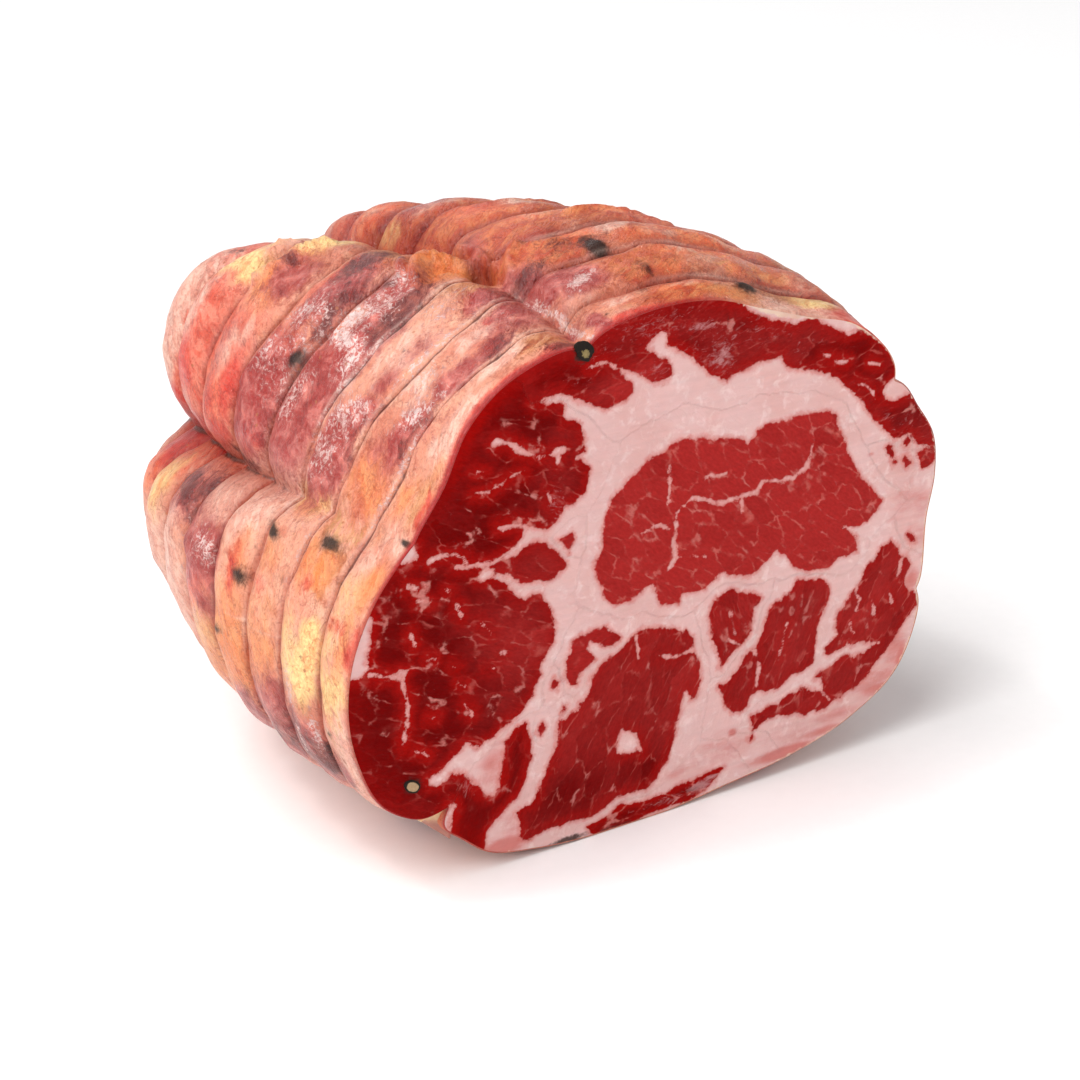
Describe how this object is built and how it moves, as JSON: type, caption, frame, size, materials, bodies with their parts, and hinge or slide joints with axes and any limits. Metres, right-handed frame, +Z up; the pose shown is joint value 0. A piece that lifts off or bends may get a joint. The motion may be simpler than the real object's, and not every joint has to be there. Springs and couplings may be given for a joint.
{
  "type": "coppa",
  "caption": "Cut coppa: cured pork neck in a natural casing with string imprints and lengthwise folds, cut flat across to show the marbled meat.",
  "frame": {"origin": "centre of the bounding box's underside, on the surface that the piece rests on", "axes": "+Z up; -Y out of the flat cut; +X to the right when looking at the cut"},
  "size_m": [0.1341, 0.1234, 0.107],
  "materials": {
    "natural_casing": "moist natural casing over fat and meat, satin with glossy patches",
    "cured_meat": "fresh cut face, moist lean meat with pale pink fat",
    "black_pepper": "dry wrinkled peppercorn skin, matte"
  },
  "bodies": {
    "root": {"coppa": "natural_casing"}
  },
  "joints": []
}
